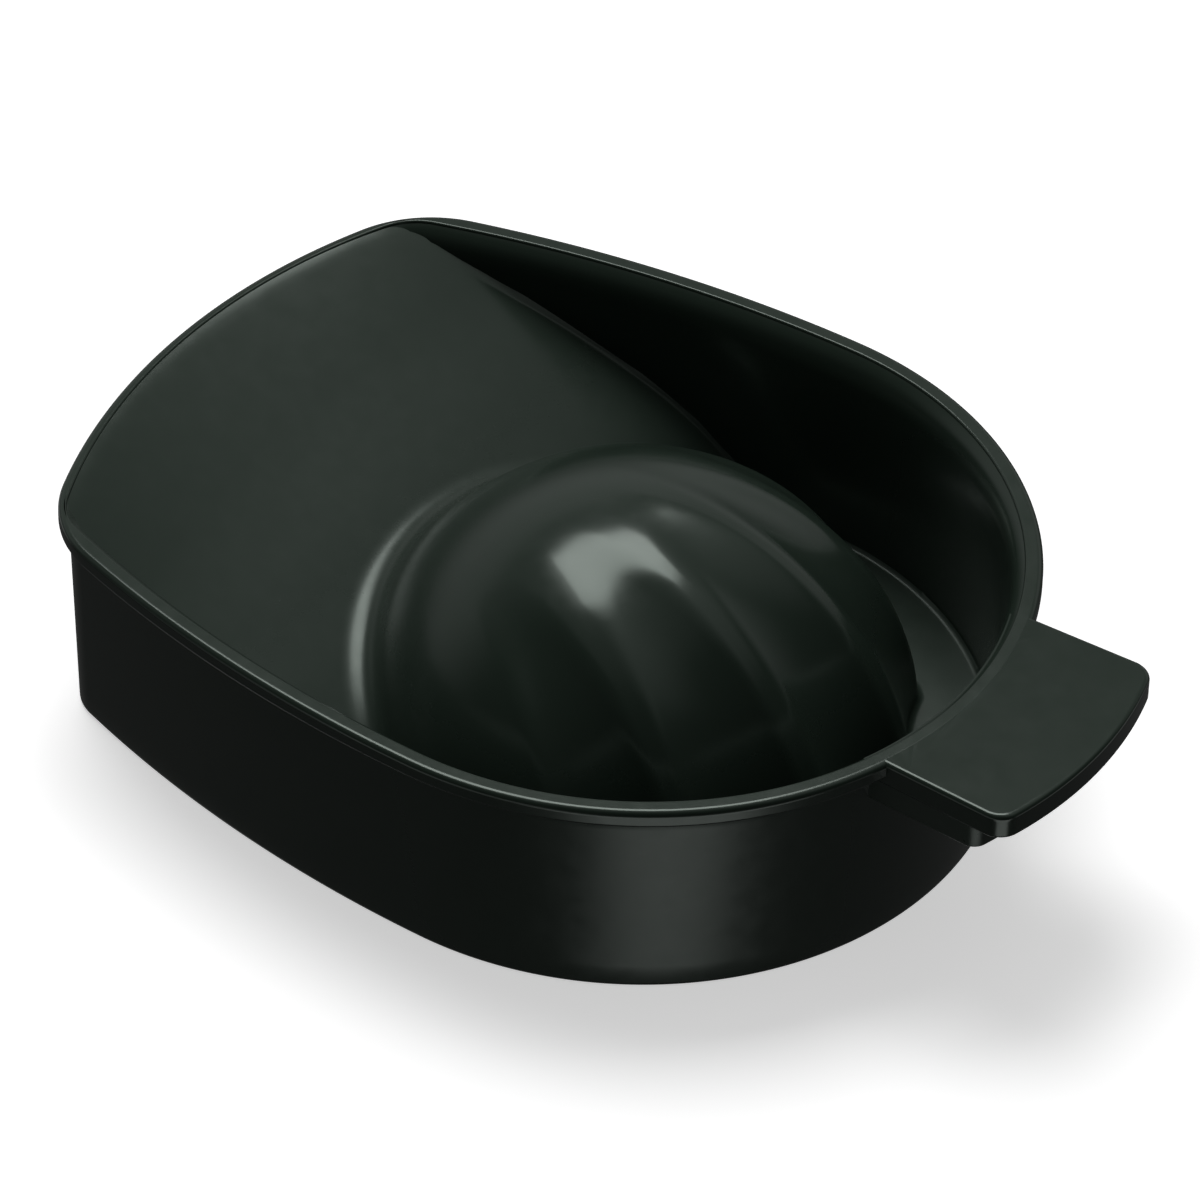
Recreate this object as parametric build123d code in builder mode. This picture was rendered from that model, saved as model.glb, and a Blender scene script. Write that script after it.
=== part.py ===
"""Manicure soaking bowl: a glossy one-piece moulding, modelled as its named regions.

The origin is on the resting plane, at the centre of the round end.
+X points to the thumb handle, +Y across the bowl and +Z up. Lengths are in millimetres.
"""
from build123d import *
from math import atan2, cos, hypot, pi, radians, sin, sqrt, tan
import os

# overall
height = 40.0                # resting plane to rim top
end_radius = 63.8            # round end, and half the width of the bowl
side_radius = 234.6          # gently bowed sides
wrist_radius = 111.4         # bowed wrist edge
wrist_apex = -90.8           # x of the middle of the wrist edge
rim_corner = 21.4            # the two wrist corners, at the rim
wall_corner = 13.0           # the same corners on the wall, measured at the rim edge
wall_shift = -1.2            # the wall stands further out along the wrist edge

# wall and rim
wall = 2.2
draft = 1.6                  # degrees, the wall leans outwards going up
rim_overhang = 3.2           # rim edge to wall, just below the rim
rim_depth = 2.9
rim_outer_round = 1.0
rim_inner_flare = 2.8        # the wall flares out under the rim's inner edge
wall_height = height - rim_depth
wall_lean = wall_height * tan(radians(draft))
foot_round = 1.0

# floor and wrist ramp
floor_top = 2.5
ramp_thickness = 2.4         # measured downwards
ramp_top = (-92.0, 40.9)     # x and z, inside the rim
ramp_upper = (-67.8, 32.8)
ramp_middle = (-44.0, 24.4)
ramp_lower = (-26.6, 15.6)
ramp_toe = (-14.5, 6.6)
ramp_foot = (-6.5, floor_top)

# fluted finger dome
dome_radius = 46.5
dome_centre = 0.5            # height of the ball's centre
dome_wall = 2.2
flute_radius = 35.0          # hollow radius of the five finger flutes
flute_depth = 2.6            # at the foot of the dome, fading out at its top
flutes = ((0.0, 0.0), (12.5, 14.0), (-12.5, -14.0), (26.0, 23.0), (-26.0, -23.0))  # offset, yaw

# thumb handle
handle_reach = 21.4          # beyond the rim's end
handle_root_width = 42.4
handle_end_width = 44.2
handle_bow = 3.6             # how far the end bows out between its corners
handle_corner = 4.0
handle_thickness = 2.2
handle_overlap = 8.0         # how far the handle's outline runs back over the rim
skirt_wall = 1.8
skirt_bottom = height - 4.4
gusset_step = 0.5            # set back below the skirt's outer face
gusset_wall = 2.4
gusset_bottom = height - 9.0
gusset_reach = 17.0
gusset_corner = 3.2
plate_bottom = height - handle_thickness


def outline(inset, corner=rim_corner, shift=0.0):
    """Plan of the bowl moved inwards by inset: end, side, corner and wrist arcs."""
    side_y = end_radius - side_radius
    wrist_x = wrist_apex + shift + wrist_radius
    reach_side = side_radius - corner
    reach_wrist = wrist_radius - corner
    gap = hypot(wrist_x, side_y)
    along = (reach_side ** 2 - reach_wrist ** 2 + gap ** 2) / (2 * gap)
    across = sqrt(reach_side ** 2 - along ** 2)
    corner_x = (wrist_x * along + side_y * across) / gap
    corner_y = side_y - (side_y * along - wrist_x * across) / gap
    wrist_angle = atan2(corner_y, corner_x - wrist_x)
    side_angle = atan2(corner_y - side_y, corner_x)
    corner_angle = (wrist_angle + side_angle) / 2
    bow_angle = (side_angle + pi / 2) / 2
    apex = (wrist_apex + shift + inset, 0.0)
    wrist_end = (
        wrist_x + (wrist_radius - inset) * cos(wrist_angle),
        (wrist_radius - inset) * sin(wrist_angle),
    )
    corner_middle = (
        corner_x + (corner - inset) * cos(corner_angle),
        corner_y + (corner - inset) * sin(corner_angle),
    )
    side_start = (
        (side_radius - inset) * cos(side_angle),
        side_y + (side_radius - inset) * sin(side_angle),
    )
    side_middle = (
        (side_radius - inset) * cos(bow_angle),
        side_y + (side_radius - inset) * sin(bow_angle),
    )
    side_end = (0.0, end_radius - inset)
    tip = (end_radius - inset, 0.0)
    with BuildSketch() as plan:
        with BuildLine():
            ThreePointArc(apex, (wrist_x + (wrist_radius - inset) * cos((wrist_angle + pi) / 2),
                                 (wrist_radius - inset) * sin((wrist_angle + pi) / 2)), wrist_end)
            ThreePointArc(wrist_end, corner_middle, side_start)
            ThreePointArc(side_start, side_middle, side_end)
            ThreePointArc(side_end, (tip[0] * cos(pi / 4), tip[0] * sin(pi / 4)), tip)
            Line(tip, apex)
        make_face()
        mirror(about=Plane.XZ)
    return plan.sketch


def wall_space(inset, low, high):
    """Everything inside the leaning wall face at this inset, between two heights."""
    with BuildPart() as space:
        with BuildSketch(Plane.XY.offset(low)):
            add(outline(rim_overhang + (wall_height - low) * tan(radians(draft)) + inset,
                        wall_corner, wall_shift))
        with BuildSketch(Plane.XY.offset(high)):
            add(outline(rim_overhang + (wall_height - high) * tan(radians(draft)) + inset,
                        wall_corner, wall_shift))
        loft(ruled=True)
    return space.part


def dome_body(skin):
    """The fluted ball, moved inwards by skin, above the resting plane."""
    with BuildPart() as body:
        with Locations((0, 0, dome_centre)):
            Sphere(dome_radius - skin)
        for offset, yaw in flutes:
            turn = radians(yaw)
            spread = 1 + flute_radius / dome_radius
            ring = sqrt(dome_radius ** 2 - offset ** 2) * spread
            away = offset * spread
            along = (cos(turn), sin(turn), 0)
            across = (-sin(turn), cos(turn), 0)
            centre = Vector(0, 0, dome_centre) + Vector(across) * away - Vector(along) * flute_depth
            place = Plane(origin=centre, x_dir=along, z_dir=across)
            with Locations(place):
                Torus(ring, flute_radius + skin, mode=Mode.SUBTRACT)
        split(bisect_by=Plane.XY, keep=Keep.TOP)
    return body.part


def handle_plan(inset, reach, corner=handle_corner):
    """Tab outline with a bowed end, moved inwards by inset."""
    root_x = end_radius - handle_overlap
    end_x = end_radius + reach - inset
    corner_x = end_x - handle_bow
    run = handle_reach + handle_overlap - handle_bow
    flare = (handle_end_width - handle_root_width) / 2 / run
    root_y = handle_root_width / 2 - inset
    corner_y = root_y + flare * (corner_x - root_x)
    with BuildSketch() as plan:
        with BuildLine():
            Line((root_x, -root_y), (corner_x, -corner_y))
            ThreePointArc((corner_x, -corner_y), (end_x, 0), (corner_x, corner_y))
            Line((corner_x, corner_y), (root_x, root_y))
            Line((root_x, root_y), (root_x, -root_y))
        make_face()
        fillet(plan.vertices().sort_by(Axis.X)[-2:], corner - inset / 2)
    return plan.sketch


with BuildPart() as outer_wall:
    add(wall_space(0, 0, wall_height))
    fillet(outer_wall.faces().sort_by(Axis.Z)[0].edges(), foot_round)
    add(wall_space(wall, 0, wall_height), mode=Mode.SUBTRACT)

with BuildPart() as rim:
    with BuildSketch(Plane.XY.offset(wall_height)):
        add(outline(0))
        add(outline(rim_overhang + wall, wall_corner, wall_shift), mode=Mode.SUBTRACT)
    extrude(amount=rim_depth)
    rim_face = rim.faces().sort_by(Axis.Z)[-1]
    fillet(rim_face.outer_wire().edges(), rim_outer_round)
    rim_face = rim.faces().filter_by(Axis.Z).sort_by(Axis.Z)[-1]
    chamfer(rim_face.inner_wires()[0].edges(), rim_inner_flare)

with BuildPart() as moat_floor:
    add(wall_space(wall, 0, floor_top))
    with Locations((ramp_foot[0], 0, 0)):
        Box(200, 200, 40, align=(Align.MAX, Align.CENTER, Align.CENTER), mode=Mode.SUBTRACT)
    add(dome_body(0), mode=Mode.SUBTRACT)

with BuildPart() as wrist_ramp:
    with BuildSketch(Plane.XZ):
        with BuildLine():
            Spline(ramp_top, ramp_upper, ramp_middle, ramp_lower, ramp_toe, ramp_foot,
                   tangents=((3, -1), (4, -1)))
            Line(ramp_foot, (ramp_foot[0], 0))
            Spline((ramp_foot[0], 0), (ramp_toe[0] - 1.2, ramp_toe[1] - 2.9),
                   (ramp_lower[0] - 0.4, ramp_lower[1] - ramp_thickness - 0.4),
                   (ramp_middle[0], ramp_middle[1] - ramp_thickness),
                   (ramp_upper[0], ramp_upper[1] - ramp_thickness),
                   (ramp_top[0], ramp_top[1] - ramp_thickness),
                   tangents=((-4, 1), (-3, 1)))
            Line((ramp_top[0], ramp_top[1] - ramp_thickness), ramp_top)
        make_face()
    extrude(amount=end_radius + 5, both=True)
    with BuildPart(mode=Mode.INTERSECT):
        add(wall_space(wall, 0, wall_height))
        with BuildSketch(Plane.XY.offset(wall_height)):
            add(outline(rim_overhang + wall - rim_inner_flare, wall_corner, wall_shift))
        extrude(amount=rim_depth)
    add(rim.part, mode=Mode.SUBTRACT)
    add(dome_body(0), mode=Mode.SUBTRACT)

with BuildPart() as finger_dome:
    add(dome_body(0))
    add(dome_body(dome_wall), mode=Mode.SUBTRACT)

with BuildPart() as thumb_handle:
    with BuildSketch(Plane.XY.offset(plate_bottom)):
        add(handle_plan(0, handle_reach))
    extrude(amount=handle_thickness)
    fillet(thumb_handle.faces().sort_by(Axis.Z)[-1].edges().sort_by(Axis.X)[1:], 0.8)
    with BuildSketch(Plane.XY):
        add(outline(rim_outer_round))
    extrude(amount=height, mode=Mode.SUBTRACT)
    add(rim.part, mode=Mode.SUBTRACT)

with BuildPart() as handle_skirt:
    with BuildSketch(Plane.XY.offset(skirt_bottom)):
        add(handle_plan(0, handle_reach))
        add(handle_plan(skirt_wall, handle_reach), mode=Mode.SUBTRACT)
    extrude(amount=plate_bottom - skirt_bottom)
    add(wall_space(0, 0, wall_height), mode=Mode.SUBTRACT)
    with BuildSketch(Plane.XY.offset(wall_height)):
        add(outline(0))
    extrude(amount=height, mode=Mode.SUBTRACT)

with BuildPart() as handle_gusset:
    with BuildSketch(Plane.XY.offset(gusset_bottom)):
        add(handle_plan(gusset_step, gusset_reach, gusset_corner))
        inner_plan = handle_plan(gusset_step + gusset_wall, gusset_reach, gusset_corner)
        add(inner_plan, mode=Mode.SUBTRACT)
    extrude(amount=plate_bottom - gusset_bottom)
    add(handle_skirt.part, mode=Mode.SUBTRACT)
    add(wall_space(0, 0, wall_height), mode=Mode.SUBTRACT)
    with BuildSketch(Plane.XY.offset(wall_height)):
        add(outline(0))
    extrude(amount=height, mode=Mode.SUBTRACT)

os.makedirs("parts", exist_ok=True)
outer_wall.part.label = "outer_wall"
export_step(outer_wall.part, "parts/outer_wall.step")
rim.part.label = "rim"
export_step(rim.part, "parts/rim.step")
moat_floor.part.label = "moat_floor"
export_step(moat_floor.part, "parts/moat_floor.step")
wrist_ramp.part.label = "wrist_ramp"
export_step(wrist_ramp.part, "parts/wrist_ramp.step")
finger_dome.part.label = "finger_dome"
export_step(finger_dome.part, "parts/finger_dome.step")
thumb_handle.part.label = "thumb_handle"
export_step(thumb_handle.part, "parts/thumb_handle.step")
handle_skirt.part.label = "handle_skirt"
export_step(handle_skirt.part, "parts/handle_skirt.step")
handle_gusset.part.label = "handle_gusset"
export_step(handle_gusset.part, "parts/handle_gusset.step")
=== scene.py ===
import math

import bpy
import numpy as np
from mathutils import Matrix, Vector


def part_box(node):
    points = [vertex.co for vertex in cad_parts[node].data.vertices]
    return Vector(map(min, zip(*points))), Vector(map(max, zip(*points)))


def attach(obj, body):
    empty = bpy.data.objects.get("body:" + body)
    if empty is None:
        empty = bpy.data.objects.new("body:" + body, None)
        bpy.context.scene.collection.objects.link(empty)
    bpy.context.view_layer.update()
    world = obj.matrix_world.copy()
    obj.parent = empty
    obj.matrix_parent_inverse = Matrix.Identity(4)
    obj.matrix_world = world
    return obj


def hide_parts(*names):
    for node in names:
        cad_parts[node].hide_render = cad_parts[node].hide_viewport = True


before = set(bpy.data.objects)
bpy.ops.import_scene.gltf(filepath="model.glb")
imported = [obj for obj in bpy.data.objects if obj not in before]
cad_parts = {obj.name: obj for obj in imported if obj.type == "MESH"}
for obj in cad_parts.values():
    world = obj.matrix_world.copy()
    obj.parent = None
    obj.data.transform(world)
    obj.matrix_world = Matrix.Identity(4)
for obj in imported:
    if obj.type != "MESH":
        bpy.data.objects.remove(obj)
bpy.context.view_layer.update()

# ------------------------------------------------------------------ sizes, in metres
MM = 0.001
rim_lo, rim_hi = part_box("rim")
plate_lo, plate_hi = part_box("thumb_handle")
skirt_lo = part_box("handle_skirt")[0]
gusset_lo, gusset_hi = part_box("handle_gusset")

TOP = rim_hi.z
LIP = rim_lo.z                   # underside of the lip
END = rim_hi.y                   # radius of the round end
APEX = rim_lo.x                  # middle of the wrist edge
SIDE_RADIUS = 234.6 * MM
WRIST_RADIUS = 111.4 * MM
RIM_CORNER = 21.4 * MM
WALL_CORNER = 13.0 * MM
WALL_SHIFT = -1.2 * MM
LEAN = math.tan(math.radians(1.6))
OVERHANG = 3.2 * MM
WALL = 2.2 * MM
FOOT_ROUND = 1.0 * MM
RIM_ROUND = 1.0 * MM
FLARE = 2.8 * MM                 # the inner face flares out under the rim

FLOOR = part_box("moat_floor")[1].z
BALL = 46.5 * MM                 # radius of the finger dome
BALL_Z = 0.5 * MM
FLUTE = 35.0 * MM
FLUTE_DEPTH = 2.6 * MM
FLUTES = ((0.0, 0.0), (12.5, 14.0), (-12.5, -14.0), (26.0, 23.0), (-26.0, -23.0))
SHELL = 2.1 * MM
RAMP_X = np.array((-98.0, -92.0, -67.8, -44.0, -26.6, -14.5, -6.5, 10.0)) * MM
RAMP_Z = np.array((42.9, 40.9, 32.8, 24.4, 15.6, 6.6, 2.3, 1.6)) * MM


# ------------------------------------------------------------------ outline of the bowl
def arc(cx, cy, radius, start, stop, count):
    """Points along an arc, without its last one."""
    t = np.linspace(start, stop, count, endpoint=False)
    return np.stack([cx + radius * np.cos(t), cy + radius * np.sin(t)], 1)


def outline(inset, corner=RIM_CORNER, shift=0.0, fine=1.0):
    """Closed plan of the bowl moved inwards by inset, as points from the wrist round +Y."""
    side_y = END - SIDE_RADIUS
    wrist_x = APEX + shift + WRIST_RADIUS
    reach_side = SIDE_RADIUS - corner
    reach_wrist = WRIST_RADIUS - corner
    gap = math.hypot(wrist_x, side_y)
    along = (reach_side ** 2 - reach_wrist ** 2 + gap ** 2) / (2 * gap)
    across = math.sqrt(reach_side ** 2 - along ** 2)
    cx = (wrist_x * along + side_y * across) / gap
    cy = side_y - (side_y * along - wrist_x * across) / gap
    wrist_angle = math.atan2(cy, cx - wrist_x)
    side_angle = math.atan2(cy - side_y, cx)
    half = np.vstack([
        arc(wrist_x, 0, WRIST_RADIUS - inset, math.pi, wrist_angle, int(70 * fine)),
        arc(cx, cy, corner - inset, wrist_angle, side_angle, int(50 * fine)),
        arc(0, side_y, SIDE_RADIUS - inset, side_angle, math.pi / 2, int(80 * fine)),
        arc(0, 0, END - inset, math.pi / 2, 0, int(100 * fine)),
    ])
    tip = np.array([[END - inset, 0.0]])
    return np.vstack([half, tip, (half[1:] * (1, -1))[::-1]])


def wall_ring(inset, z):
    """Ring on the leaning wall, at a depth behind its outer face."""
    grow = OVERHANG + (LIP - z) * LEAN
    return ring(outline(grow + inset, WALL_CORNER, WALL_SHIFT), z)


def rim_ring(inset, z):
    return ring(outline(inset), z)


def ring(points, z):
    return np.column_stack([points, np.full(len(points), z)])


# ------------------------------------------------------------------ mesh helpers
def make_mesh(name, verts, faces, sharp):
    """Smooth-shaded object whose edges stay crisp above an angle in degrees."""
    mesh = bpy.data.meshes.new(name)
    mesh.from_pydata([tuple(map(float, v)) for v in verts], [], faces)
    mesh.validate()
    mesh.update()
    mesh.shade_smooth()
    mesh.set_sharp_from_angle(angle=math.radians(sharp))
    obj = bpy.data.objects.new(name, mesh)
    bpy.context.scene.collection.objects.link(obj)
    return obj


def loft(rings, closed=False):
    """Vertices and quads joining equal rings in order."""
    count = len(rings[0])
    verts = np.vstack(rings)
    faces = []
    pairs = list(zip(range(len(rings) - 1), range(1, len(rings))))
    if closed:
        pairs.append((len(rings) - 1, 0))
    for a, b in pairs:
        for i in range(count):
            j = (i + 1) % count
            faces.append((a * count + i, a * count + j, b * count + j, b * count + i))
    return verts, faces


def smooth(value, low, high):
    t = np.clip((value - low) / (high - low), 0, 1)
    return t * t * (3 - 2 * t)


def rounding(steps):
    """Angles from 0 to a right angle, for rounded edges."""
    return [math.pi / 2 * i / steps for i in range(steps + 1)]


# ------------------------------------------------------------------ plastic
def plastic(name, rough, haze=0.0):
    """Polished moulded plastic: faint colour drift, orange-peel bump and fine handling marks.

    Haze adds roughness to the low parts and fades out between 16 and 34 mm up.
    """
    tint = (0.0185, 0.0285, 0.0215)
    peel = 0.012
    mat = bpy.data.materials.new(name)
    mat.use_nodes = True
    tree = mat.node_tree
    nodes, links = tree.nodes, tree.links
    shader = nodes["Principled BSDF"]
    shader.inputs["IOR"].default_value = 1.49
    shader.inputs["Specular Tint"].default_value = (0.88, 1.0, 0.92, 1)
    place = nodes.new("ShaderNodeTexCoord")

    drift = nodes.new("ShaderNodeTexNoise")
    drift.inputs["Scale"].default_value = 22.0
    drift.inputs["Detail"].default_value = 3.0
    links.new(place.outputs["Object"], drift.inputs["Vector"])
    colour = nodes.new("ShaderNodeMix")
    colour.data_type = "RGBA"
    colour.inputs[6].default_value = tuple(c * 0.93 for c in tint) + (1,)
    colour.inputs[7].default_value = tuple(c * 1.08 for c in tint) + (1,)
    links.new(drift.outputs["Fac"], colour.inputs[0])
    links.new(colour.outputs[2], shader.inputs["Base Color"])

    marks = nodes.new("ShaderNodeTexNoise")
    marks.inputs["Scale"].default_value = 260.0
    marks.inputs["Detail"].default_value = 5.0
    marks.inputs["Roughness"].default_value = 0.65
    links.new(place.outputs["Object"], marks.inputs["Vector"])
    spread = nodes.new("ShaderNodeMapRange")
    spread.inputs["From Min"].default_value = 0.3
    spread.inputs["From Max"].default_value = 0.7
    spread.inputs["To Min"].default_value = rough * 0.88
    spread.inputs["To Max"].default_value = rough * 1.14
    links.new(marks.outputs["Fac"], spread.inputs["Value"])
    split = nodes.new("ShaderNodeSeparateXYZ")
    links.new(place.outputs["Object"], split.inputs[0])
    low = nodes.new("ShaderNodeMapRange")
    low.interpolation_type = "SMOOTHSTEP"
    low.inputs["From Min"].default_value = 34 * MM
    low.inputs["From Max"].default_value = 16 * MM
    low.inputs["To Max"].default_value = haze
    links.new(split.outputs["Z"], low.inputs["Value"])
    total_rough = nodes.new("ShaderNodeMath")
    links.new(spread.outputs["Result"], total_rough.inputs[0])
    links.new(low.outputs["Result"], total_rough.inputs[1])
    links.new(total_rough.outputs[0], shader.inputs["Roughness"])

    skin = nodes.new("ShaderNodeTexNoise")
    skin.inputs["Scale"].default_value = 520.0
    skin.inputs["Detail"].default_value = 2.0
    links.new(place.outputs["Object"], skin.inputs["Vector"])
    bump = nodes.new("ShaderNodeBump")
    bump.inputs["Strength"].default_value = 0.35
    bump.inputs["Distance"].default_value = peel * MM
    links.new(skin.outputs["Fac"], bump.inputs["Height"])
    links.new(bump.outputs["Normal"], shader.inputs["Normal"])
    return mat


gloss = plastic("gloss_plastic_body", rough=0.2)
basin_gloss = plastic("gloss_plastic_basin", rough=0.19, haze=0.15)
handle_gloss = plastic("gloss_plastic_handle", rough=0.155)
rib_gloss = plastic("gloss_plastic_rib", rough=0.3)


def finish_piece(obj, material, *nodes):
    obj.data.materials.append(material)
    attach(obj, "root")
    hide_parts(*nodes)
    return obj


# ------------------------------------------------------------------ wall and rim
def wall_and_rim():
    rings = [wall_ring(WALL, 0.4 * MM), wall_ring(WALL - 0.3 * MM, 0.0)]
    rings.append(wall_ring(FOOT_ROUND + 0.1 * MM, 0.0))
    for t in rounding(6):
        rings.append(wall_ring(FOOT_ROUND * (1 - math.sin(t)), FOOT_ROUND * (1 - math.cos(t))))
    for step in (0.1, 0.35, 0.65, 0.9):
        rings.append(wall_ring(0, FOOT_ROUND + (LIP - FOOT_ROUND) * step))
    fillet = 0.7 * MM
    for t in rounding(4):
        rings.append(wall_ring(-fillet * (1 - math.cos(t)), LIP - fillet * (1 - math.sin(t))))
    low = 0.35 * MM
    rings.append(rim_ring(low + 0.3 * MM, LIP))
    for t in rounding(4):
        rings.append(rim_ring(low * (1 - math.sin(t)), LIP + low * (1 - math.cos(t))))
    rings.append(rim_ring(0, LIP + low + 0.1 * MM))
    rings.append(rim_ring(0, TOP - RIM_ROUND - 0.1 * MM))
    for t in rounding(8):
        rings.append(rim_ring(RIM_ROUND * (1 - math.cos(t)), TOP - RIM_ROUND * (1 - math.sin(t))))
    rings.append(rim_ring(RIM_ROUND + 0.12 * MM, TOP))
    inner = OVERHANG + WALL
    edge = 0.45 * MM
    start = inner - FLARE
    rings.append(ring(outline(start - 0.1 * MM, WALL_CORNER, WALL_SHIFT), TOP))
    for t in rounding(5):
        rings.append(ring(outline(start + edge * math.sin(t) * 0.8, WALL_CORNER, WALL_SHIFT),
                          TOP - edge * (1 - math.cos(t))))
    for share in (0.3, 0.5, 0.65, 0.78, 0.89, 0.96):
        inset = start + 0.8 * edge + (FLARE - 0.8 * edge) * math.sin(math.pi / 2 * share)
        z = TOP - edge - 5.2 * MM * (1 - math.cos(math.pi / 2 * share)) - 0.9 * MM * share
        rings.append(ring(outline(inset, WALL_CORNER, WALL_SHIFT), z))
    for step in (0.88, 0.8, 0.6, 0.4, 0.2, 0.05):
        rings.append(wall_ring(WALL, LIP * step))
    verts, faces = loft(rings, closed=True)
    return make_mesh("outer_wall_and_rim", verts, faces, sharp=40)


# ------------------------------------------------------------------ ramp, floor and dome
RAYS = 720                       # columns of the basin's mesh
DOME_ROWS = 190
FLOOR_ROWS = 96
FIELD_STEP = 0.05 * MM           # step for the surface's slope
EVENING_ROUNDS = 30


def halve(low, high, is_inside, rounds=34):
    """Closes in on the surface between an inner and an outer value, ray by ray."""
    for _ in range(rounds):
        mid = (low + high) / 2
        inside = is_inside(mid)
        low = np.where(inside, mid, low)
        high = np.where(inside, high, mid)
    return low, high


def hermite(x, knots_x, knots_z):
    """Smooth curve through the knots."""
    slope = np.gradient(knots_z, knots_x)
    i = np.clip(np.searchsorted(knots_x, x) - 1, 0, len(knots_x) - 2)
    span = knots_x[i + 1] - knots_x[i]
    t = (x - knots_x[i]) / span
    a = (2 * t ** 3 - 3 * t ** 2 + 1) * knots_z[i] + (t ** 3 - 2 * t ** 2 + t) * span * slope[i]
    b = (3 * t ** 2 - 2 * t ** 3) * knots_z[i + 1] + (t ** 3 - t ** 2) * span * slope[i + 1]
    return a + b


def soft_min(a, b, k):
    h = np.maximum(k - np.abs(a - b), 0) / k
    return np.minimum(a, b) - h * h * k / 4


def soft_max(a, b, k):
    return -soft_min(-a, -b, k)


def ground(x, y):
    """Height of the ramp running down into the flat floor, its top following the wrist edge."""
    reach = WRIST_RADIUS - OVERHANG
    bow = reach - np.sqrt(reach ** 2 - np.clip(y, -60 * MM, 60 * MM) ** 2)
    x = x - bow * smooth(-x, 44 * MM, 88 * MM)
    ramp = hermite(np.clip(x, RAMP_X[0], RAMP_X[-1]), RAMP_X, RAMP_Z)
    height = soft_max(ramp, FLOOR + 0.0 * x, 3.0 * MM)
    return soft_min(height, TOP + 0.02 * MM + 0.0 * x, 0.9 * MM)


def dome_distance(p):
    """Signed distance to the fluted ball."""
    q = p - np.array((0, 0, BALL_Z))
    d = np.linalg.norm(q, axis=-1) - BALL
    for offset, yaw in FLUTES:
        turn = math.radians(yaw)
        along = np.array((math.cos(turn), math.sin(turn), 0))
        across = np.array((-math.sin(turn), math.cos(turn), 0))
        spread = 1 + FLUTE / BALL
        hoop = math.sqrt(BALL ** 2 - (offset * MM) ** 2) * spread
        centre = across * offset * MM * spread - along * FLUTE_DEPTH
        local = q - centre
        u = local @ along
        v = local @ across
        w = local[..., 2]
        tube = np.sqrt((np.sqrt(u * u + w * w) - hoop) ** 2 + v * v) - FLUTE
        d = soft_max(d, -tube, 0.5 * MM)
    return d


def field(p, edge_gap):
    """Below zero inside the moulding under the basin."""
    x, y, z = p[..., 0], p[..., 1], p[..., 2]
    level = ground(x, y)
    step = 0.2 * MM
    slope = (ground(x + step, y) - ground(x - step, y)) / (2 * step)
    cove = 0.9 * MM * (1 - smooth(level, 30 * MM, 38 * MM)) + 0.01 * MM
    d = np.clip(edge_gap, 0.02 * MM, cove)
    level = level + cove - np.sqrt(np.maximum(cove ** 2 - (cove - d) ** 2, 0))
    flat = (z - level) / np.sqrt(1 + slope ** 2)
    blend = 1.2 * MM + 3.8 * MM * smooth(z, 4 * MM, 18 * MM)
    return soft_min(flat, dome_distance(p), blend)


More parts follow.
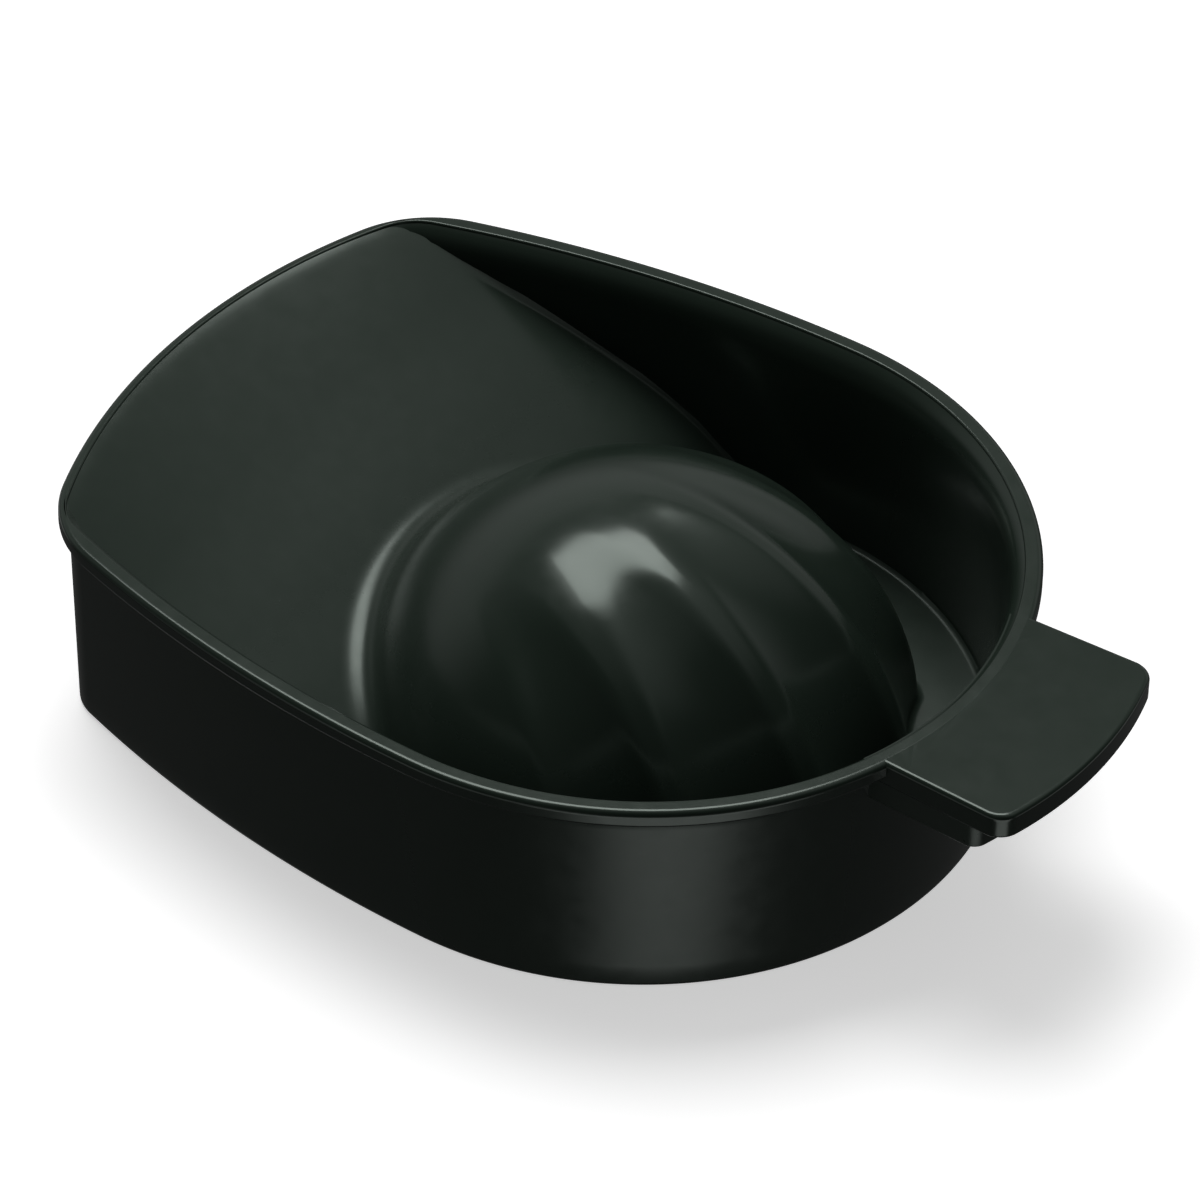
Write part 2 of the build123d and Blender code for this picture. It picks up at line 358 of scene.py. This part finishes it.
def basin():
    """Ramp, floor and dome as one skin with an offset underside."""
    count = RAYS
    phi = np.linspace(-math.pi, math.pi, count, endpoint=False)
    ray = np.stack([np.cos(phi), np.sin(phi)], 1)

    def reach(points):
        """Distance from the origin to a closed outline along each ray."""
        angle = np.arctan2(points[:, 1], points[:, 0])
        radius = np.hypot(points[:, 0], points[:, 1])
        order = np.argsort(angle)
        return np.interp(phi, angle[order], radius[order], period=2 * math.pi)

    deep = reach(outline(4.9 * MM, WALL_CORNER, WALL_SHIFT, 4))
    shallow = reach(outline(RIM_ROUND + 0.1 * MM, fine=4))
    face_low = reach(outline(OVERHANG + WALL + LIP * LEAN, WALL_CORNER, WALL_SHIFT, 4))
    face_high = reach(outline(OVERHANG + WALL, WALL_CORNER, WALL_SHIFT, 4))
    edge_z = ground(deep * ray[:, 0], deep * ray[:, 1])
    rise = smooth(edge_z, 37.4 * MM, 38.4 * MM)
    limit = deep + (shallow - deep) * rise
    turn = np.gradient(np.log(face_high), phi)
    squint = 1 / np.sqrt(1 + turn ** 2)          # ray against the wall's normal

    def gap(p):
        far = np.hypot(p[..., 0], p[..., 1])
        share = np.clip(p[..., 2] / LIP, 0, 1)
        return (face_low + (face_high - face_low) * share - far) * squint

    # lowest elevation, seen from the ball's centre, at which the dome is still bare
    radii = np.linspace(20 * MM, BALL, 400)
    ball = BALL_Z + np.sqrt(np.maximum(BALL ** 2 - radii ** 2, 0))
    floor_under = ground(ray[:, :1] * radii[None], ray[:, 1:] * radii[None])
    bare = ball[None] - floor_under
    last = np.argmax(bare < 0.0, axis=1)
    crease = np.arctan2(ball[last] - BALL_Z, radii[last])
    lowest = np.maximum(math.radians(6.0), crease + math.radians(9.5))
    # even out steps between neighbouring rays
    for _ in range(EVENING_ROUNDS):
        lowest = (np.roll(lowest, 1) + lowest + np.roll(lowest, -1)) / 3

    rows = []
    for i in range(1, DOME_ROWS + 1):
        share = i / DOME_ROWS
        tilt = math.pi / 2 - (math.pi / 2 - lowest) * share
        aim = np.stack([ray[:, 0] * np.cos(tilt), ray[:, 1] * np.cos(tilt), np.sin(tilt)], 1)

        def inside_dome(mid):
            p = aim * mid[:, None] + np.array((0, 0, BALL_Z))
            return field(p, gap(p)) < 0

        near, far = halve(np.full(count, 30 * MM), np.full(count, 60 * MM), inside_dome)
        rows.append(aim * ((near + far) / 2)[:, None] + np.array((0, 0, BALL_Z)))
    start = np.hypot(rows[-1][:, 0], rows[-1][:, 1])
    steps = np.linspace(0, 1, FLOOR_ROWS + 1)[1:]
    first = 0.05 * MM / (limit - start) * FLOOR_ROWS
    for s in steps:
        share = first * s + (1 - first) * s ** 2.2
        radius = start + (limit - start) * share

        def inside_floor(mid):
            p = np.column_stack([ray * radius[:, None], mid])
            return field(p, gap(p)) < 0

        low, high = halve(np.full(count, 0.5 * MM), rows[-1][:, 2] + 12 * MM, inside_floor)
        rows.append(np.column_stack([ray * radius[:, None], (low + high) / 2]))

    def inside_crown(mid):
        return field(np.array([[0, 0, BALL_Z + mid[0]]]), np.array([1.0])) < 0

    near, far = halve(np.array([30 * MM]), np.array([60 * MM]), inside_crown)
    crown = np.array((0, 0, BALL_Z)) + np.array((0, 0, near[0]))

    top = np.vstack([[crown]] + rows)

    def slope_of(points, gaps):
        out = []
        for axis in range(3):
            move = np.zeros(3)
            move[axis] = FIELD_STEP
            out.append(field(points + move, gaps) - field(points - move, gaps))
        n = np.stack(out, -1)
        return n / np.linalg.norm(n, axis=-1, keepdims=True)

    normals = [slope_of(top[:1], np.array([1.0]))]
    for r in rows:
        normals.append(slope_of(r, gap(r)))
    normals = np.vstack(normals)
    normals[:, 2] = np.maximum(normals[:, 2], 0.0)
    under = top - normals * SHELL
    under[:, 2] = np.maximum(under[:, 2], 0.35 * MM)

    verts = np.vstack([top, under])
    shift = len(top)
    faces = []
    for i in range(count):
        j = (i + 1) % count
        faces.append((0, 1 + i, 1 + j))
        faces.append((shift, shift + 1 + j, shift + 1 + i))
    for k in range(len(rows) - 1):
        a = 1 + k * count
        b = a + count
        for i in range(count):
            j = (i + 1) % count
            faces.append((a + i, b + i, b + j, a + j))
            faces.append((shift + a + i, shift + a + j, shift + b + j, shift + b + i))
    a = 1 + (len(rows) - 1) * count
    for i in range(count):
        j = (i + 1) % count
        faces.append((a + i, shift + a + i, shift + a + j, a + j))
    return make_mesh("ramp_floor_and_dome", verts, faces, sharp=50)


# ------------------------------------------------------------------ thumb handle
def tab_ring(inset, reach, root, z, corner):
    """Ring of the handle's plan: bowed end, rounded corners and an arc along the rim."""
    half_root = 21.2 * MM
    half_end = 22.1 * MM
    bow = 3.6 * MM
    full = plate_hi.x - bow
    flare = (half_end - half_root) / (full - (END - 6 * MM))
    tip = reach - inset

    def side(x):
        return half_root + flare * (x - (END - 6 * MM)) - inset

    end_x = tip - bow
    end_y = side(end_x)
    bow_radius = (end_y ** 2 + bow ** 2) / (2 * bow)
    centre = tip - bow_radius
    # corner circle tangent to the side line and the bowed end
    c = max(corner - inset, 0.3 * MM)
    cy = end_y - c
    cx = centre + math.sqrt((bow_radius - c) ** 2 - cy ** 2)
    cy = side(cx) - c
    cx = centre + math.sqrt((bow_radius - c) ** 2 - cy ** 2)
    meet = math.atan2(cy, cx - centre)
    root_y = side(root)
    root_x = math.sqrt(max(root ** 2 - root_y ** 2, 0))
    root_y = side(root_x)
    spread = math.asin(min(root_y / root, 1))
    half = [(centre + bow_radius * math.cos(t), bow_radius * math.sin(t))
            for t in np.linspace(0, meet, 24, endpoint=False)]
    half += [(cx + c * math.cos(t), cy + c * math.sin(t))
             for t in np.linspace(meet, math.pi / 2, 16, endpoint=False)]
    half += [(cx + (root_x - cx) * s, side(cx + (root_x - cx) * s))
             for s in np.linspace(0, 1, 12, endpoint=False)]
    half += [(root * math.cos(t), root * math.sin(t))
             for t in np.linspace(spread, 0, 20, endpoint=False)]
    half.append((root, 0.0))
    half = np.array(half)
    points = np.vstack([half, (half[1:-1] * (1, -1))[::-1]])
    return ring(points, z)


def handle():
    reach = plate_hi.x
    bottom = skirt_lo.z
    under = plate_lo.z
    corner = 4.0 * MM
    edge = 0.75 * MM
    low = 0.4 * MM
    thick = 1.8 * MM
    on_top = END - RIM_ROUND - 0.1 * MM
    in_wall = END - OVERHANG - 0.9 * MM
    top = TOP - 0.004 * MM
    rings = []
    rings.append(tab_ring(edge + 0.15 * MM, reach, on_top, top, corner))
    for t in rounding(8)[::-1]:
        rings.append(tab_ring(edge * (1 - math.cos(t)), reach, on_top,
                              top - edge * (1 - math.sin(t)), corner))
    rings.append(tab_ring(0, reach, in_wall, top - edge - 0.4 * MM, corner))
    rings.append(tab_ring(0, reach, in_wall, bottom + low + 0.1 * MM, corner))
    for t in rounding(5)[::-1]:
        rings.append(tab_ring(low * (1 - math.sin(t)), reach, in_wall,
                              bottom + low * (1 - math.cos(t)), corner))
    rings.append(tab_ring(thick - 0.3 * MM, reach, in_wall + 0.3 * MM, bottom, corner))
    rings.append(tab_ring(thick, reach, in_wall + 0.4 * MM, bottom + 0.3 * MM, corner))
    rings.append(tab_ring(thick, reach, in_wall + 0.4 * MM, under - 0.5 * MM, corner))
    rings.append(tab_ring(thick + 0.5 * MM, reach, in_wall + 0.4 * MM, under, corner))
    verts, faces = loft(rings)
    count = len(rings[0])
    faces.insert(0, tuple(range(count))[::-1])
    last = (len(rings) - 1) * count
    faces.append(tuple(last + i for i in range(count)))
    return make_mesh("thumb_handle_and_skirt", verts, faces, sharp=40)


def gusset():
    outer = 0.5 * MM
    inner = outer + 2.4 * MM
    reach = gusset_hi.x + outer
    bottom = gusset_lo.z
    under = plate_lo.z + 0.3 * MM
    in_wall = END - OVERHANG - 0.9 * MM
    corner = 3.2 * MM
    low = 0.3 * MM
    behind_skirt = 1.9 * MM
    rings = [tab_ring(behind_skirt, reach, in_wall, under, corner)]
    rings.append(tab_ring(behind_skirt, reach, in_wall, skirt_lo.z, corner))
    rings.append(tab_ring(outer, reach, in_wall, skirt_lo.z - 0.02 * MM, corner))
    rings.append(tab_ring(outer, reach, in_wall, bottom + low + 0.1 * MM, corner))
    for t in rounding(6)[::-1]:
        rings.append(tab_ring(outer + low * (1 - math.sin(t)), reach, in_wall,
                              bottom + low * (1 - math.cos(t)), corner))
    rings.append(tab_ring(inner - 0.4 * MM, reach, in_wall, bottom, corner))
    rings.append(tab_ring(inner, reach, in_wall, bottom + 0.4 * MM, corner))
    rings.append(tab_ring(inner, reach, in_wall, under, corner))
    verts, faces = loft(rings, closed=True)
    return make_mesh("handle_rib", verts, faces, sharp=40)


finish_piece(wall_and_rim(), gloss, "outer_wall", "rim")
finish_piece(basin(), basin_gloss, "wrist_ramp", "moat_floor", "finger_dome")
finish_piece(handle(), handle_gloss, "thumb_handle", "handle_skirt")
finish_piece(gusset(), rib_gloss, "handle_gusset")

# ------------------------------------------------------------------ camera
AIM = Vector((-0.02327, 0.02452, 0.0))
AZIMUTH = math.radians(33.33)
ELEVATION = math.radians(40.27)
ROLL = math.radians(-1.63)
DISTANCE = 1.3195
FOCAL_LENGTH = 241.2             # millimetres
back = Vector((math.sin(AZIMUTH) * math.cos(ELEVATION),
               -math.cos(AZIMUTH) * math.cos(ELEVATION), math.sin(ELEVATION)))
right = Vector((math.cos(AZIMUTH), math.sin(AZIMUTH), 0))
up = back.cross(right)
turned_right = right * math.cos(ROLL) - up * math.sin(ROLL)
turned_up = right * math.sin(ROLL) + up * math.cos(ROLL)
lens = bpy.data.cameras.new("camera")
lens.lens = FOCAL_LENGTH
lens.sensor_width = 36
lens.clip_start = 0.05
lens.clip_end = 50
camera = bpy.data.objects.new("camera", lens)
camera.matrix_world = Matrix.Translation(AIM + back * DISTANCE) @ Matrix(
    (turned_right, turned_up, back)).transposed().to_4x4()
bpy.context.scene.collection.objects.link(camera)
bpy.context.scene.camera = camera


# ------------------------------------------------------------------ stage and light
def area_light(name, azimuth, elevation, distance, width, height, energy):
    light = bpy.data.lights.new(name, "AREA")
    light.shape = "RECTANGLE"
    light.size = width
    light.size_y = height
    light.energy = energy
    obj = bpy.data.objects.new(name, light)
    a, e = math.radians(azimuth), math.radians(elevation)
    direction = Vector((math.cos(a) * math.cos(e), math.sin(a) * math.cos(e), math.sin(e)))
    obj.location = direction * distance
    obj.rotation_euler = direction.to_track_quat("Z", "Y").to_euler()
    bpy.context.scene.collection.objects.link(obj)
    return obj


floor_mesh = bpy.data.meshes.new("studio_floor")
FLOOR_REACH = 3.0
corners = [(-1, -1), (1, -1), (1, 1), (-1, 1)]
floor_mesh.from_pydata([(x * FLOOR_REACH, y * FLOOR_REACH, 0) for x, y in corners], [],
                       [(0, 1, 2, 3)])
studio_floor = bpy.data.objects.new("studio_floor", floor_mesh)
bpy.context.scene.collection.objects.link(studio_floor)
paper = bpy.data.materials.new("floor_paper")
paper.use_nodes = True
paper_shader = paper.node_tree.nodes["Principled BSDF"]
paper_shader.inputs["Base Color"].default_value = (0.9, 0.9, 0.9, 1)
paper_shader.inputs["Roughness"].default_value = 0.9
paper_shader.inputs["Specular IOR Level"].default_value = 0.0
paper_shader.inputs["Emission Color"].default_value = (1, 1, 1, 1)
paper_shader.inputs["Emission Strength"].default_value = 0.55
floor_mesh.materials.append(paper)
studio_floor.visible_glossy = False
studio_floor.visible_diffuse = False

area_light("key_softbox", 140, 67, 1.6, 1.0, 0.82, 14.5)

world = bpy.data.worlds.new("studio")
bpy.context.scene.world = world
world.use_nodes = True
tree = world.node_tree
sky = tree.nodes["Background"]
coords = tree.nodes.new("ShaderNodeTexCoord")


def math_node(operation, first, second=None, third=None):
    node = tree.nodes.new("ShaderNodeMath")
    node.operation = operation
    for socket, value in zip(node.inputs, (first, second, third)):
        if value is None:
            continue
        if isinstance(value, (int, float)):
            socket.default_value = value
        else:
            tree.links.new(value, socket)
    return node.outputs[0]


def along(direction):
    """How far a direction of the surroundings points along another."""
    node = tree.nodes.new("ShaderNodeVectorMath")
    node.operation = "DOT_PRODUCT"
    tree.links.new(coords.outputs["Generated"], node.inputs[0])
    node.inputs[1].default_value = direction
    return node.outputs["Value"]


def step_up(value, low, high):
    node = tree.nodes.new("ShaderNodeMapRange")
    node.interpolation_type = "SMOOTHSTEP"
    node.inputs["From Min"].default_value = low
    node.inputs["From Max"].default_value = high
    tree.links.new(value, node.inputs["Value"])
    return node.outputs["Result"]


def compass(azimuth):
    a = math.radians(azimuth)
    return (math.cos(a), math.sin(a), 0)


# soft panels around the object, each a smooth zone of the surroundings
BASE, BELOW, LOW_PANELS, NADIR = 0.022, 0.042, 0.5, 0.55
BACK_WALL, UPPER_BACK, OVERHEAD, CARD = 0.36, 0.28, 0.18, 1.25
height_up = along((0, 0, 1))
back_wall = math_node("MULTIPLY", step_up(along(compass(135)), -0.05, 0.6),
                      step_up(height_up, -0.05, 0.3))
dip = math_node("MULTIPLY_ADD", step_up(height_up, 0.5, 0.62), -0.6, 1.0)
back_wall = math_node("MULTIPLY", back_wall, dip)
upper_back = math_node("MULTIPLY", step_up(along(compass(75)), -0.15, 0.35),
                       step_up(height_up, 0.58, 0.84))
overhead = step_up(height_up, 0.78, 1.0)
card = math_node("MULTIPLY", step_up(along(compass(-46)), 0.665, 0.70),
                 step_up(math_node("MULTIPLY", height_up, -1.0), 0.35, 0.5))
down = math_node("MULTIPLY", height_up, -1.0)
below = step_up(down, -0.1, 0.1)
nadir = math_node("MULTIPLY", step_up(down, 0.74, 0.88),
                  step_up(along(compass(140)), 0.26, 0.42))
low_band = math_node("MULTIPLY", step_up(down, 0.02, 0.2),
                     math_node("SUBTRACT", 1.0, step_up(down, 0.34, 0.5)))
panels = math_node("ADD", step_up(along(compass(-105)), 0.72, 0.95),
                   step_up(along(compass(160)), 0.72, 0.95))
panels = math_node("ADD", panels, step_up(along(compass(35)), 0.72, 0.95))
low_band = math_node("MULTIPLY", low_band, panels)
total = math_node("MULTIPLY_ADD", below, BELOW, BASE)
total = math_node("MULTIPLY_ADD", low_band, LOW_PANELS, total)
total = math_node("MULTIPLY_ADD", nadir, NADIR, total)
total = math_node("MULTIPLY_ADD", back_wall, BACK_WALL, total)
total = math_node("MULTIPLY_ADD", upper_back, UPPER_BACK, total)
total = math_node("MULTIPLY_ADD", overhead, OVERHEAD, total)
total = math_node("MULTIPLY_ADD", card, CARD, total)
tree.links.new(total, sky.inputs["Strength"])
sky.inputs["Color"].default_value = (1, 1, 1, 1)

scene = bpy.context.scene
scene.view_settings.view_transform = "Standard"
